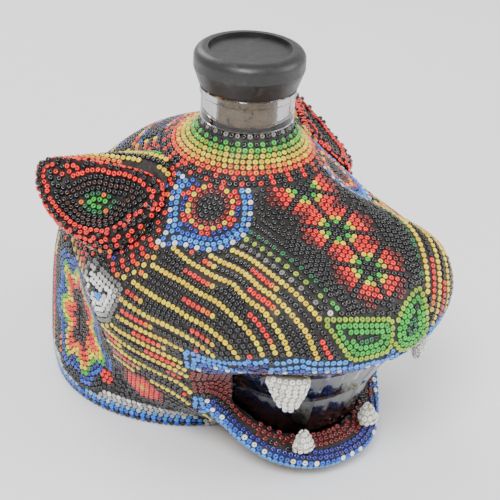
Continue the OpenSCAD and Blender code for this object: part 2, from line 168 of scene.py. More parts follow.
class Skin:
    """A smooth surface that beads are set on, in rows that follow fields over its points."""

    def __init__(self, points, tris, levels=2, rise=BEAD_RISE):
        self.mesh = smoothed(points, tris, levels)
        base, self.tris = arrays_of(self.mesh)
        self.normals = self._normals(base)
        self.base = base
        self.points = base + rise * self.normals
        self.tree = BVHTree.FromPolygons(self.points.tolist(), self.tris.tolist())

    def _normals(self, points):
        a, b, c = (points[self.tris[:, i]] for i in range(3))
        faces = np.cross(b - a, c - a)
        total = np.zeros_like(points)
        for i in range(3):
            np.add.at(total, self.tris[:, i], faces)
        total = unit(total)
        for _ in range(2):
            spread = total.copy()
            for i in range(3):
                np.add.at(spread, self.tris[:, i], total[self.tris[:, (i + 1) % 3]])
            total = unit(spread)
        return total

    def normal_at(self, p):
        place, _, face, _ = self.tree.find_nearest(Vector(p))
        corners = self.tris[face]
        weight = 1 / (np.linalg.norm(self.points[corners] - np.array(place), axis=1) + 0.05)
        return np.array(place), unit((self.normals[corners] * weight[:, None]).sum(axis=0))

    def distance(self, start):
        """Distance over the surface from where start is finite, walking outwards."""
        d = start.copy()
        orders = [(0, 1, 2), (1, 2, 0), (2, 0, 1)]
        changed = np.isfinite(d)
        while changed.any():
            active = self.tris[changed[self.tris].any(axis=1)]
            before = d.copy()
            for i, j, k in orders:
                a, b, c = active[:, i], active[:, j], active[:, k]
                near = np.minimum(before[a] + self._length(a, c), before[b] + self._length(b, c))
                np.minimum.at(d, c, np.where(np.isfinite(near), near, np.inf))
                both = np.isfinite(before[a]) & np.isfinite(before[b])
                a, b, c = a[both], b[both], c[both]
                side = self._length(a, b)
                along = unit(self.points[b] - self.points[a])
                rel = self.points[c] - self.points[a]
                x = (rel * along).sum(axis=1)
                y = np.sqrt(np.maximum((rel ** 2).sum(axis=1) - x ** 2, 0))
                sx = (before[a] ** 2 - before[b] ** 2 + side ** 2) / (2 * side)
                under = before[a] ** 2 - sx ** 2
                sy = np.sqrt(np.maximum(under, 0))
                cross = sx + (x - sx) * sy / np.maximum(sy + y, 1e-9)
                fits = (under > 0) & (cross > -0.05 * side) & (cross < 1.05 * side)
                np.minimum.at(d, c[fits], np.hypot(x - sx, y + sy)[fits])
            changed = d < before - 1e-4
        return d

    def _length(self, a, b):
        return np.linalg.norm(self.points[a] - self.points[b], axis=1)

    def rows(self, field, level, where):
        """The lines along which a field has a value, each as (points, normals, closed)."""
        tris = self.tris[where[self.tris].any(axis=1)]
        tris = tris[np.isfinite(field[tris]).all(axis=1)]
        above = field[tris] > level
        mixed = above.any(axis=1) & ~above.all(axis=1)
        links = {}
        for tri, up in zip(tris[mixed].tolist(), above[mixed].tolist()):
            ends = []
            for i in range(3):
                j = (i + 1) % 3
                if up[i] != up[j]:
                    ends.append((min(tri[i], tri[j]), max(tri[i], tri[j])))
            links.setdefault(ends[0], []).append(ends[1])
            links.setdefault(ends[1], []).append(ends[0])
        found = []
        waiting = sorted(links, key=lambda e: (len(links[e]), e))
        seen = set()
        for first in waiting:
            if first in seen:
                continue
            path, here = [first], first
            seen.add(first)
            while True:
                onward = [e for e in links[here] if e not in seen]
                if not onward:
                    break
                here = onward[0]
                seen.add(here)
                path.append(here)
            closed = len(path) > 3 and first in links[here] and len(links[first]) > 1
            edge = np.array(path)
            low, high = field[edge[:, 0]], field[edge[:, 1]]
            t = ((level - low) / np.where(high == low, 1, high - low))[:, None]
            points = self.points[edge[:, 0]] * (1 - t) + self.points[edge[:, 1]] * t
            normals = unit(self.normals[edge[:, 0]] * (1 - t) + self.normals[edge[:, 1]] * t)
            found.append((points, normals, closed))
        return found


def spaced(points, normals, closed, pitch, phase):
    """Even places along a line: (arc length, point, normal)."""
    if closed:
        points = np.concatenate([points, points[:1]])
        normals = np.concatenate([normals, normals[:1]])
    arc = np.concatenate([[0], np.cumsum(np.linalg.norm(np.diff(points, axis=0), axis=1))])
    total = arc[-1]
    if total < pitch * 0.4:
        return []
    if closed:
        count = max(1, round(total / pitch))
        at = (np.arange(count) + phase) * total / count
    else:
        count = max(1, int(total / pitch + 0.35))
        at = (total - (count - 1) * pitch) / 2 + np.arange(count) * pitch
    at = np.clip(at, 0, total)
    places = np.stack([np.interp(at, arc, points[:, i]) for i in range(3)], axis=1)
    facing = unit(np.stack([np.interp(at, arc, normals[:, i]) for i in range(3)], axis=1))
    return list(zip(at.tolist(), places, facing))


class Beads:
    """All the beads set so far, with a grid of cells to find near ones quickly."""

    def __init__(self):
        self.points, self.normals, self.colours, self.cells = [], [], [], {}

    def _cell(self, p):
        return tuple(int(math.floor(x / 2.0)) for x in p)

    def crowded(self, p, closest):
        x, y, z = self._cell(p)
        for i in (x - 1, x, x + 1):
            for j in (y - 1, y, y + 1):
                for k in (z - 1, z, z + 1):
                    for n in self.cells.get((i, j, k), ()):
                        q = self.points[n]
                        if (p[0] - q[0]) ** 2 + (p[1] - q[1]) ** 2 + (p[2] - q[2]) ** 2 < closest ** 2:
                            return True
        return False

    def add(self, p, n, colour, closest=CLOSEST):
        if colour is None or self.crowded(p, closest):
            return
        self.cells.setdefault(self._cell(p), []).append(len(self.points))
        self.points.append(tuple(p))
        self.normals.append(tuple(n))
        self.colours.append(colour)

    def follow(self, skin, field, levels, where, paint, pitch=PITCH, stagger=True):
        """Sets rows of beads along a field's levels; paint(row, number, point, of) names a colour."""
        for row, level in enumerate(levels):
            for points, normals, closed in skin.rows(field, level, where):
                places = spaced(points, normals, closed, pitch, 0.5 * (row % 2) if stagger else 0)
                for number, (_, p, n) in enumerate(places):
                    self.add(p, n, paint(row, number, p, len(places)))

    def fill(self, skin, where, paint, tries, closest=CLOSEST):
        """Drops beads into what gaps are left, each as near its neighbours as it can lie."""
        tris = skin.tris[where[skin.tris].any(axis=1)]
        a, b, c = (skin.points[tris[:, i]] for i in range(3))
        area = np.linalg.norm(np.cross(b - a, c - a), axis=1)
        pick = rng.choice(len(tris), tries, p=area / area.sum())
        u, v = rng.random(tries), rng.random(tries)
        flip = u + v > 1
        u, v = np.where(flip, 1 - u, u)[:, None], np.where(flip, 1 - v, v)[:, None]
        places = a[pick] + u * (b[pick] - a[pick]) + v * (c[pick] - a[pick])
        na, nb, nc = (skin.normals[tris[pick, i]] for i in range(3))
        facing = unit(na * (1 - u - v) + nb * u + nc * v)
        for _ in range(3):
            tree = tree_of(np.array(self.points)) if self.points else None
            gaps = gap_to(places, tree) if tree else np.full(len(places), 9.0)
            free = gaps >= closest
            order = np.argsort(gaps[free], kind="stable")
            places, facing = places[free][order], facing[free][order]
            if len(places) == 0:
                break
            for p, n in zip(places, facing):
                self.add(p, n, paint(p), closest)


# ---------------------------------------------------------------- where things are on the head

glass_low, glass_high = (np.array(v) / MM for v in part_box("glass_bottle"))
stretch = np.array([(glass_high[0] - glass_low[0]) / 115.4, (glass_high[1] - glass_low[1]) / 158.8,
                    glass_high[2] / 109.0])


def at(x, y, z):
    """A place on the head, from where it is on a head of the size first drawn."""
    return np.array([x, y, z]) * stretch


def right_side(points):
    """The same places folded over to the right side of the face."""
    folded = np.array(points, float)
    folded[..., 0] = -np.abs(folded[..., 0])
    return folded


class Patch:
    """A flat frame on the head round a motif's centre: u runs forwards, v upwards."""

    def __init__(self, skin, centre, side=-1, forward=(0.0, -1.0, 0.0)):
        self.centre, self.normal = skin.normal_at(centre)
        forward = np.array(forward)
        self.u = unit(forward - self.normal * (forward @ self.normal))
        self.v = np.cross(self.normal, self.u) * -side
        self.skin = skin

    def flat(self, points):
        rel = np.asarray(points) - self.centre
        return rel @ self.u, rel @ self.v, rel @ self.normal

    def place(self, u, v):
        """The skin's point and normal over a flat place."""
        start = self.centre + self.u * u + self.v * v + self.normal * 12
        hit, _, _, _ = self.skin.tree.ray_cast(Vector(start), Vector(-self.normal), 30)
        return None if hit is None else self.skin.normal_at(hit)


def depth_inside(outline, u, v):
    """How far flat places are inside an outline; negative outside it."""
    corners = np.array(outline, float)
    best = np.full(np.shape(u), np.inf)
    inside = np.zeros(np.shape(u), bool)
    for (x0, y0), (x1, y1) in zip(corners, np.roll(corners, -1, axis=0)):
        dx, dy = x1 - x0, y1 - y0
        t = np.clip(((u - x0) * dx + (v - y0) * dy) / (dx * dx + dy * dy), 0, 1)
        best = np.minimum(best, np.hypot(u - x0 - t * dx, v - y0 - t * dy))
        if y0 != y1:
            inside ^= ((y0 > v) != (y1 > v)) & (u < x0 + (v - y0) * dx / dy)
    return np.where(inside, best, -best)


def segment_gap(u, v, u0, v0, u1, v1):
    """Distance of flat places from a straight stretch."""
    du, dv = u1 - u0, v1 - v0
    t = np.clip(((u - u0) * du + (v - v0) * dv) / (du * du + dv * dv), 0, 1)
    return np.hypot(u - u0 - t * du, v - v0 - t * dv)


def lattice(radius):
    """Flat places of beads packed in hexagons round a middle one, nearest first."""
    step = ROW * 2 / math.sqrt(3)
    count = int(radius / ROW) + 2
    found = [((i + j / 2) * step, j * ROW) for i in range(-2 * count, 2 * count + 1)
             for j in range(-count, count + 1)]
    return sorted((p for p in found if math.hypot(*p) <= radius), key=lambda p: math.hypot(*p))


def levels_from(first, count):
    return [first + ROW * i for i in range(count)]


# The yellow lines of the right cheek, from behind the eye forwards and down to the lip.
CHEEK_LINES = [
    [(-31.5, -32, 83), (-31, -46.5, 84), (-31, -60, 83), (-28, -70, 78), (-23.5, -77, 68.5), (-18.5, -79, 60)],
    [(-37, -26, 81), (-35, -40, 81), (-36, -54, 80.5), (-34.5, -65, 78.5), (-31, -73, 71.5), (-27, -76, 60)],
    [(-42, -17, 79.5), (-41, -30, 78), (-39, -45, 78.5), (-39, -60, 76.5), (-37, -69, 69), (-34, -71, 60)],
    [(-49, -14, 74), (-47, -28, 74), (-45, -43, 73.5), (-44, -56, 71), (-42, -64, 65), (-39.5, -65, 57)],
    [(-54.5, -12, 68), (-53, -25, 67), (-51, -37, 66), (-48, -48, 64.5), (-46, -56, 61), (-43, -58, 55)],
    [(-58, -11.5, 61.5), (-55.5, -22, 60), (-53, -33, 60), (-50, -43.5, 58), (-46.5, -50, 54), (-44, -52, 51)],
    [(-59, -8.5, 55), (-56.5, -19.5, 54), (-53.5, -30.5, 54), (-49.5, -40, 52), (-46, -43, 47.5)],
    [(-58.5, -7, 49), (-56, -19, 48.5), (-52, -29, 47), (-47, -36.5, 44.5), (-41.5, -37, 36.5)],
    [(-57.5, -7, 44.5), (-54.5, -19, 43), (-50, -29, 41.5), (-43.5, -34, 36.5), (-39, -35, 29)],
    [(-55, -9.5, 38), (-52, -19, 37), (-47, -29, 35), (-39.5, -33, 26)],
    [(-54, -6, 32.5), (-50, -18, 30), (-44, -28, 26), (-38, -31, 20)],
]


def cheek_lines(points):
    """A smooth field over the cheek that counts its yellow lines, from fitted guide lines."""
    guides = np.array([at(*p) for line in CHEEK_LINES for p in line])
    values = np.array([i for i, line in enumerate(CHEEK_LINES) for _ in line], float)
    n = len(guides)
    spread = np.linalg.norm(guides[:, None] - guides[None], axis=2)
    flat = np.concatenate([np.ones((n, 1)), guides], axis=1)
    system = np.block([[spread - 0.02 * np.eye(n), flat], [flat.T, np.zeros((4, 4))]])
    weights = np.linalg.solve(system, np.concatenate([values, np.zeros(4)]))
    points = right_side(points)
    reach = np.linalg.norm(points[:, None] - guides[None], axis=2)
    return reach @ weights[:n] + weights[n] + points @ weights[n + 1:]


PANELS = [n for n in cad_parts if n.endswith(("_panel", "_lip", "_gum", "_pad", "_patch",
                                                   "_cheek", "_flank", "_band", "_collar"))
          or n == "mouth_lining"]
PANELS = sorted(PANELS)
panel_tree, panel_of_face = surface_tree(PANELS)


def panel_at(p):
    return PANELS[panel_of_face[panel_tree.find_nearest(Vector(p))[2]]]


def head_skin():
    """The wax bed's outer face, which is where the panels' inner faces lie."""
    points, tris = cad_mesh("wax_bed")
    panel_points = tree_of(np.concatenate([cad_mesh(n)[0] for n in PANELS]))
    return Skin(*kept_faces(points, tris, gap_to(points, panel_points) < 0.02))


head = head_skin()
P = head.points
Q = right_side(P)
owner = np.array([panel_at(p) for p in head.base])
beads = Beads()

neck_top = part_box("neck_collar")[1][2] / MM
seat_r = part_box("glass_neck")[1][0] / MM
neck_gap = np.hypot(np.hypot(P[:, 0], P[:, 1]) - seat_r, P[:, 2] - neck_top)


# ---------------------------------------------------------------- the head's rows of beads

def neck_rings():
    """Rings round the neck: grey and black, then green to orange, then red rays."""
    rings = [("grey", "black"), ("green", "black"), ("lime", "green"), ("yellow", "lime"),
             ("yellow", "yellow"), ("orange", "yellow"), ("orange", "red")]

    def paint(row, number, p, of):
        if row < len(rings):
            return rings[row][number % 2]
        return "red" if number % 3 == 0 else "black"

    beads.follow(head, neck_gap, levels_from(0.9, 9), neck_gap < 19, paint)


EYE_OUTLINE = [(-9, -23.5), (-5.5, -18), (-7.5, -12.5), (-11.5, -8), (-14.5, -3.5), (-15.5, 2), (-15, 7.5),
               (-13, 11.5), (-8.5, 13), (-2.5, 14), (3, 14), (6, 12.5), (9.5, 10), (12.5, 6.5), (16.5, 0.5),
               (16, -2.5), (14.5, -7), (11, -11.5), (6, -14), (0, -16), (-4.5, -20)]
ROSETTE = 9.4           # radius of the eye's rosette


def eye(side):
    """White dots round rings of sky, blue and indigo, and a rosette with twelve yellow beads."""
    patch = Patch(head, at(27.6 * side, -17, 90.6), side)
    u, v, off = patch.flat(P)
    near = (np.hypot(u, v) < 30) & (np.abs(off) < 9) & (P[:, 0] * side > 0)
    middle = np.hypot(u, v)

    def rosette(row, number, p, of):
        turn = math.degrees(math.atan2(*(patch.flat(p)[i] for i in (1, 0))))
        if row == 4:
            return "yellow" if number % 2 == 0 else "red"
        if row == 5:
            return "red" if abs((turn + 30) % 60 - 30) < 15 else "indigo"
        return ("black", "black", "black", "dark_red")[row]

    beads.add(*head.normal_at(patch.centre), "black")
    beads.follow(head, middle, [0.02] + levels_from(ROW, 5),
                 near & (middle < ROSETTE + 2), rosette)
    depth = depth_inside(EYE_OUTLINE, u, v)

    def rings(row, number, p, of):
        if row == 0:
            return "white" if number % 2 == 0 else "blue"
        return ("sky", "blue", "blue")[row - 1] if row < 4 else "indigo"

    beads.follow(head, np.where(near, depth, np.inf), levels_from(0.2, 7),
                 near & (depth > -1) & (middle > ROSETTE - 0.5), rings)


def star(centre, others):
    """Six petals from green tips to red ends, between black rays."""
    patch = Patch(head, centre)
    for u, v in lattice(13.4):
        found = patch.place(u, v)
        if found is None:
            continue
        p, n = found
        mine = np.linalg.norm(p - patch.centre)
        if any(np.linalg.norm(p - o) < mine - 0.3 for o in others):
            continue
        turn = math.degrees(math.atan2(v, u))
        ray = abs((turn + 30) % 60 - 30)
        r = math.hypot(u, v)
        reach = r * math.cos(math.radians((turn % 60) - 30))
        if reach < 2.6 or r * math.sin(math.radians(ray)) < 1.05:
            colour = "black"
        elif reach < 4.4:
            colour = "green"
        elif reach < 6.3:
            colour = "yellow"
        elif reach < 7.4:
            colour = "orange"
        elif reach < 10.6:
            colour = "red"
        else:
            colour = "dark_red" if abs(v) > 4 else "black"
        beads.add(p, n, colour)


STARS = [(0, -31.8, 96.3), (0, -49.6, 88.8), (0, -65.9, 82.3)]


def stars():
    centres = [head.normal_at(at(*s))[0] for s in STARS]
    for i, centre in enumerate(centres):
        star(centre, centres[:i] + centres[i + 1:])


RIGHT_NOSTRIL = [(-10, -15.5), (-9, -10), (-7.5, -3.5), (-4, 10), (-0.5, 10), (6.5, 8.5), (6.5, 1.5),
                 (6, -4.5), (5, -7), (-0.5, -10.5), (-6.5, -13.5)]
LEFT_NOSTRIL = [(-10, -7), (-5.5, -8), (1, -8), (6.5, -8), (9.5, -2.5), (8.5, 4.5), (4.5, 7.5), (-1, 7),
                (-6, 2.5), (-8.5, -2.5)]


def nostril(side, outline):
    """A black drop in rings of dark green, green and lime."""
    patch = Patch(head, at((10.2 if side < 0 else 7.8) * side, -79.8, 65.4), side, (0.0, 0.0, -1.0))
    u, v, off = patch.flat(P)
    depth = depth_inside(outline, u, v)
    near = (np.hypot(u, v) < 22) & (np.abs(off) < 9)

    def paint(row, number, p, of):
        return ("lime", "green", "green", "dark_green")[row] if row < 4 else "black"

    beads.follow(head, np.where(near, depth, np.inf), levels_from(0.1, 6), near & (depth > -1), paint)


LIPS = np.isin(owner, ["upper_lip", "lower_lip"])
MOUTH = np.isin(owner, ["mouth_lining", "upper_gum"])


def lips():
    """Sky, blue and indigo rows along both lips, with white beads in threes."""
    outside = ~(LIPS | MOUTH)
    start = np.full(len(P), np.inf)
    edge_tris = head.tris[LIPS[head.tris].any(axis=1) & outside[head.tris].any(axis=1)]
    edge = np.unique(edge_tris[outside[edge_tris]])
    start[edge] = 0
    field = head.distance(start)

    def paint(row, number, p, of):
        if row == 2 and number % 9 in (0, 2, 4):
            return "white"
        return ("sky", "sky", "blue", "indigo", "indigo", "black")[min(row, 5)]

    def inner(row, number, p, of):
        if row < 1:
            return "black"
        return "black" if number % 11 == 3 and row > 3 else "dark_red"

    beads.follow(head, field, levels_from(0.6, 12), LIPS, paint)
    inwards = head.distance(np.where(LIPS, 0.0, np.inf))
    beads.follow(head, inwards, levels_from(1.3, 14), MOUTH, inner)


LINES = cheek_lines(P)
CHEEK = np.isin(owner, ["right_cheek", "left_cheek", "nose_pad", "bridge_panel", "right_eye_patch",
                        "left_eye_patch", "nape_panel", "right_flank", "left_flank", "chin_panel"])
cheek_back = at(0, 3, 0)[1]


def cheek_paint(row, p):
    """Yellow on every fourth row, and dashes of red, orange and yellow between."""
    line, place = divmod(row, 4)
    s = p[1] + 0.35 * p[2] + 7 * line
    if place == 0:
        return "yellow"
    if place == 2:
        step = (s / PITCH) % 15
        if step < 4.2:
            return "yellow" if step < 1.1 else "orange" if step < 2.2 else "red"
        if step < 7:
            return "red"
    return "black"


def cheek(side):
    """The flowing lines, drawn yellow first so that they stay whole."""
    where = CHEEK & (P[:, 0] * side > 0) & (P[:, 1] < cheek_back)
    count = 4 * len(CHEEK_LINES)
    first = 0 if side < 0 else -4
    for rest in (False, True):
        for row in range(first, count):
            if (row % 4 != 0) == rest:
                for points, normals, closed in head.rows(LINES, row / 4, where):
                    for _, p, n in spaced(points, normals, closed, PITCH, 0.0):
                        beads.add(p, n, cheek_paint(row, p))


def columns(side):
    """Short columns from dark green to white beside the bridge of the nose."""
    where = (P[:, 0] * side > 0) & (P[:, 1] < at(0, -30, 0)[1]) & (P[:, 2] > at(0, 0, 74)[2])
    tones = [None, "grey", "grey", "white", "lime", "green", "dark_green"]
    for row in range(1, 12):
        for points, normals, closed in head.rows(LINES, -row / 4.4, where):
            for _, p, n in spaced(points, normals, closed, PITCH, 0.0):
                shown = int(math.floor((p[1] - 0.4 * row) / (2 * PITCH) * 2)) % 2 == 0
                tone = tones[row] if row < len(tones) and shown else "black"
                beads.add(p, n, tone or "black")


def base_rows():
    """Pearl rows round the foot over blue ones."""
    tones = [("blue", "black"), ("sky", "blue"), ("pearl", "sky"), ("pearl", "pearl"), ("white", "pearl")]
    beads.follow(head, P[:, 2], levels_from(1.5, 5), (P[:, 2] < 12) & (P[:, 1] > at(0, -14, 0)[1]),
                 lambda row, number, p, of: tones[row][number % 2])


def flower(side):
    """A tall flower on each flank: black, red, orange, yellow, green, then indigo."""
    patch = Patch(head, at(50.9 * side, 26.2, 33.9), side)
    u, v, off = patch.flat(P)
    near = (np.abs(off) < 16) & (P[:, 0] * side > 0)
    gap = segment_gap(u, v, 0, -8, 0, 9)

    def paint(row, number, p, of):
        a, b, _ = patch.flat(p)
        lobe = 1.3 * math.cos(7 * math.atan2(b / 1.6, a))
        d = row + lobe * (row > 1)
        for limit, colour in ((0.8, "black"), (1.7, "brown"), (3.1, "red"), (4.0, "orange"),
                              (5.3, "yellow"), (6.2, "green"), (7.4, "indigo"), (8.4, "blue")):
            if d < limit:
                return colour
        return flank_paint(p)

    beads.follow(head, np.where(near, gap, np.inf), levels_from(0.3, 12), near & (gap < 20), paint)


def flank_paint(p):
    """The flank's ground: black, with dotted columns near the back and under the ears."""
    column = int(math.floor(math.atan2(p[0], p[1]) * 60 / PITCH * 0.9))
    if p[1] > at(0, 40, 0)[1] and column % 4 == 0:
        return ("white", "orange", "red", "red", "yellow", "green")[int(p[2] / 12) % 6]
    if p[2] > at(0, 0, 60)[2] and column % 3 == 0:
        return ("green", "lime", "yellow", "orange", "red")[int(p[2] / (2 * PITCH)) % 5]
    return "black"


def small_flowers(side):
    """A small blue flower behind the eye, and two red ones low on the cheek."""
    for place, tones in (((-26.3, 4.1, 99.3), ("cream", "white", "sky", "sky", "blue")),
                         ((-47.8, -8.1, 21.8), ("yellow", "orange", "red", "red", "dark_red")),
                         ((-49.6, 11.7, 16.4), ("red", "red"))):
        patch = Patch(head, at(-place[0] * side, place[1], place[2]), side)
        for u, v in lattice(ROW * len(tones) - 0.6):
            found = patch.place(u, v)
            if found is not None:
                beads.add(*found, tones[min(len(tones) - 1, int(math.hypot(u, v) / ROW + 0.4))])


TRIANGLE = [(-17, 0), (-12.5, 7), (7, 5), (7, -1), (2.5, -10), (-7, -14)]


def triangle(side):
    """A white and blue triangle between the cheek and the flank."""
    patch = Patch(head, at(59.4 * side, -1.5, 60.8), side)
    u, v, off = patch.flat(P)
    near = (np.hypot(u, v) < 24) & (np.abs(off) < 9)
    depth = depth_inside(TRIANGLE, u, v)

    def paint(row, number, p, of):
        if patch.flat(p)[0] < -7 and number % 3 == 0:
            return "black"
        return ("grey", "pearl", "white", "white", "sky", "blue", "blue")[min(row, 6)]

    beads.follow(head, np.where(near, depth, np.inf), levels_from(0.3, 6), near & (depth > -1), paint)


ear_roots = {side: tree_of(cad_mesh(name + "_ear_cover")[0]) for side, name in ((-1, "right"), (1, "left"))}


def ear_rays(side):
    """Short rays of red, orange and yellow round the root of an ear."""
    gap = gap_to(P, ear_roots[side])
    tones = ("red", "red", "red", "orange", "yellow")

    def paint(row, number, p, of):
        return tones[row] if number % 2 == 0 else "black"

    beads.follow(head, gap, levels_from(1.6, 5), (gap < 13) & (P[:, 0] * side > 0), paint, stagger=False)


def ground(p):
    """The colour of a bead that no motif asks for."""
    name = panel_at(p)
    if name in ("mouth_lining", "upper_gum"):
        return "dark_red"
    if name.endswith("_lip"):
        return "indigo"
    if name == "base_band":
        return "pearl"
    if name == "nape_panel":
        ring = int(math.hypot(p[0], p[1] - 8) / ROW)
        spoke = int(math.atan2(p[0], p[1]) * 9)
        if ring % 6 == 0:
            return ("yellow", "orange", "red")[spoke % 3]
        return ("black", "black", "blue", "indigo", "black")[ring % 5] if spoke % 2 else "black"
    if name.endswith("_flank"):
        return flank_paint(p)
    return "black"


neck_rings()
for side in (-1, 1):
    eye(side)
stars()
nostril(-1, RIGHT_NOSTRIL)
nostril(1, LEFT_NOSTRIL)
lips()
for side in (-1, 1):
    triangle(side)
    ear_rays(side)
    small_flowers(side)
    flower(side)
    cheek(side)
    columns(side)
base_rows()
back_gap = np.hypot(P[:, 0], P[:, 1] - 8)
beads.follow(head, back_gap, levels_from(18, 40), owner == "nape_panel", lambda r, n, p, of: ground(p))
beads.follow(head, P[:, 2], levels_from(4, 40), np.isin(owner, ["right_flank", "left_flank", "chin_panel"]),
             lambda r, n, p, of: ground(p))
beads.fill(head, np.ones(len(P), bool), ground, 70000, 1.8)


# ---------------------------------------------------------------- ears and fangs

def outer_skin(name, inner_name, least):
    """The faces of a CAD shell that stand off the piece beneath it."""
    points, tris = cad_mesh(name)
    under, under_tris = cad_mesh(inner_name)
    tree = BVHTree.FromPolygons(under.tolist(), under_tris.tolist())
    gap = np.array([tree.find_nearest(Vector(p))[3] for p in points[tris].mean(axis=1)])
    return Skin(*kept_faces(points, tris[gap > least], np.ones(len(points), bool)), levels=2, rise=-0.2)


piece_of = [panel_at(p) for p in np.array(beads.points)]


def edge_gap(skin):
    """Distance inwards from a skin's open edge."""
    pairs = [skin.tris[:, [0, 1]], skin.tris[:, [1, 2]], skin.tris[:, [2, 0]]]
    edges = np.sort(np.concatenate(pairs), axis=1)
    sides, times = np.unique(edges, axis=0, return_counts=True)
    start = np.full(len(skin.points), np.inf)
    start[np.unique(sides[times == 1])] = 0
    return skin.distance(start)


def ear(name):
    """A cup of black rows round a green leaf, and a cover from a red rim to striped sides."""
    cup = outer_skin(name + "_ear_lining", name + "_ear_core", 0.3)
    inwards = edge_gap(cup)

    def leaf(row, number, p, of):
        if row < 1:
            return "red"
        if row < 4:
            return ("black", "brown", "black")[row - 1]
        if row == 4:
            return "orange" if number % 5 == 0 else "dark_green"
        return "green" if row == 5 else "lime"

    whole = np.ones(len(cup.points), bool)
    beads.follow(cup, inwards, levels_from(0.6, 8), whole, leaf)
    beads.fill(cup, whole, lambda p: "black", 3000, 1.8)
    piece_of.extend([name + "_ear_lining"] * (len(beads.points) - len(piece_of)))
    cover = outer_skin(name + "_ear_cover", name + "_ear_core", 0.3)
    cup_points = tree_of(cad_mesh(name + "_ear_lining")[0])
    downwards = gap_to(cover.points, cup_points)
    tones = ("red", "red", "orange", "yellow", "orange", "red", "black")

    def rim(row, number, p, of):
        if row < 2:
            return "red"
        if p[2] > ear_top:
            return ("orange", "yellow", "black", "yellow", "green", "indigo")[min(row - 2, 5)]
        return tones[min(row - 1, 6)] if number % 2 == 0 else "black"

    whole = np.ones(len(cover.points), bool)
    ear_top = (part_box(name + "_ear_core")[1][2] / MM) - 12
    beads.follow(cover, downwards, levels_from(0.8, 9), whole, rim)
    beads.fill(cover, whole, lambda p: "black", 4000, 1.8)
    piece_of.extend([name + "_ear_cover"] * (len(beads.points) - len(piece_of)))


def ear_root(name):
    """Black beads, with some red, on what the cup and the cover leave of an ear's core."""
    points, tris = cad_mesh(name + "_ear_core")
    shells = [cad_mesh(name + part) for part in ("_ear_lining", "_ear_cover")]
    trees = [BVHTree.FromPolygons(p.tolist(), t.tolist()) for p, t in shells]
    shown = []
    for middle in points[tris].mean(axis=1):
        under, out = head.normal_at(middle)
        covered = min(tree.find_nearest(Vector(middle))[3] for tree in trees) < 0.15
        shown.append(not covered and (middle - under) @ out > -0.5)
    bare = Skin(*kept_faces(points, tris[np.array(shown)], np.ones(len(points), bool)), levels=2)
    beads.fill(bare, np.ones(len(bare.points), bool), lambda p: "red" if rng.random() < 0.2 else "black",
               4000, 1.75)
    piece_of.extend([name + "_ear_root"] * (len(beads.points) - len(piece_of)))


def fang(name):
    """White beads stacked round a tooth."""
    points, tris = cad_mesh(name)
    skin = Skin(points, tris, levels=2, rise=-0.35)
    whole = np.ones(len(skin.points), bool)
    up = 1 if "lower" in name else -1
    root = points[:, 2].min() if up > 0 else points[:, 2].max()
    field = (skin.points[:, 2] - root) * up
    beads.follow(skin, field, levels_from(1.2, 9), whole & (field > 0.3), lambda r, n, p, of: "white")
    beads.fill(skin, field > 1.0, lambda p: "cream" if rng.random() < 0.2 else "white", 700, 1.75)
    piece_of.extend([name] * (len(beads.points) - len(piece_of)))


for name in ("right", "left"):
    ear(name)
    ear_root(name)
    fang(name + "_upper_fang")
    fang(name + "_lower_fang")


# ---------------------------------------------------------------- node trees

class Value:
    """A shader socket that can be reckoned with, each sum becoming a Math node."""

    def __init__(self, tree, socket):
        self.tree, self.socket = tree, socket

    def _sum(self, what, first, second):
        return node(self.tree, "ShaderNodeMath", {0: first, 1: second}, operation=what)

    def __add__(self, other):
        return self._sum("ADD", self, other)

    def __radd__(self, other):
        return self._sum("ADD", other, self)

    def __sub__(self, other):
        return self._sum("SUBTRACT", self, other)

    def __rsub__(self, other):
        return self._sum("SUBTRACT", other, self)

    def __mul__(self, other):
        return self._sum("MULTIPLY", self, other)

    def __rmul__(self, other):
        return self._sum("MULTIPLY", other, self)


def node(tree, kind, inputs=None, out=0, **settings):
    """Makes any node, with its settings and its inputs, and gives one of its outputs."""
    made = tree.nodes.new(kind)
    for name, value in settings.items():
        setattr(made, name, value)
    for name, value in (inputs or {}).items():
        put(tree, made.inputs[name], value)
    return Value(tree, made.outputs[out]) if len(made.outputs) else None


def put(tree, socket, value):
    if isinstance(value, Value):
        tree.links.new(value.socket, socket)
    elif isinstance(value, tuple) and len(value) == 3 and socket.type == "RGBA":
        socket.default_value = (*value, 1.0)
    else:
        socket.default_value = value


class Finish:
    """One material: a node tree around a Principled surface."""

    def __init__(self, name):
        self.material = bpy.data.materials.new(name)
        self.material.use_nodes = True
        self.tree = self.material.node_tree
        self.tree.nodes.clear()
        self.place = self.make("ShaderNodeTexCoord", out="Object")

    def make(self, kind, inputs=None, out=0, **settings):
        return node(self.tree, kind, inputs, out, **settings)

    def noise(self, scale, detail=4.0, rough=0.5):
        """Noise that changes about scale times in a metre."""
        return self.make("ShaderNodeTexNoise", {"Vector": self.place, "Scale": scale, "Detail": detail,
                                                "Roughness": rough}, "Fac")

    def ramp(self, value, low, high, to_low=0.0, to_high=1.0):
        return self.make("ShaderNodeMapRange", {"Value": value, "From Min": low, "From Max": high,
                                                "To Min": to_low, "To Max": to_high})

    def blend(self, amount, first, second, kind="MIX"):
        made = self.tree.nodes.new("ShaderNodeMix")
        made.data_type = "RGBA"
        made.blend_type = kind
        put(self.tree, made.inputs[0], amount)
        put(self.tree, made.inputs[6], first)
        put(self.tree, made.inputs[7], second)
        return Value(self.tree, made.outputs[2])

    def bump(self, height, depth, strength=1.0):
        return self.make("ShaderNodeBump", {"Height": height, "Distance": depth, "Strength": strength})

    def done(self, **inputs):
        names = {name: name.replace("_", " ") for name in inputs}
        surface = self.make("ShaderNodeBsdfPrincipled", {names[n]: v for n, v in inputs.items()})
        self.make("ShaderNodeOutputMaterial", {"Surface": surface})
        return self.material


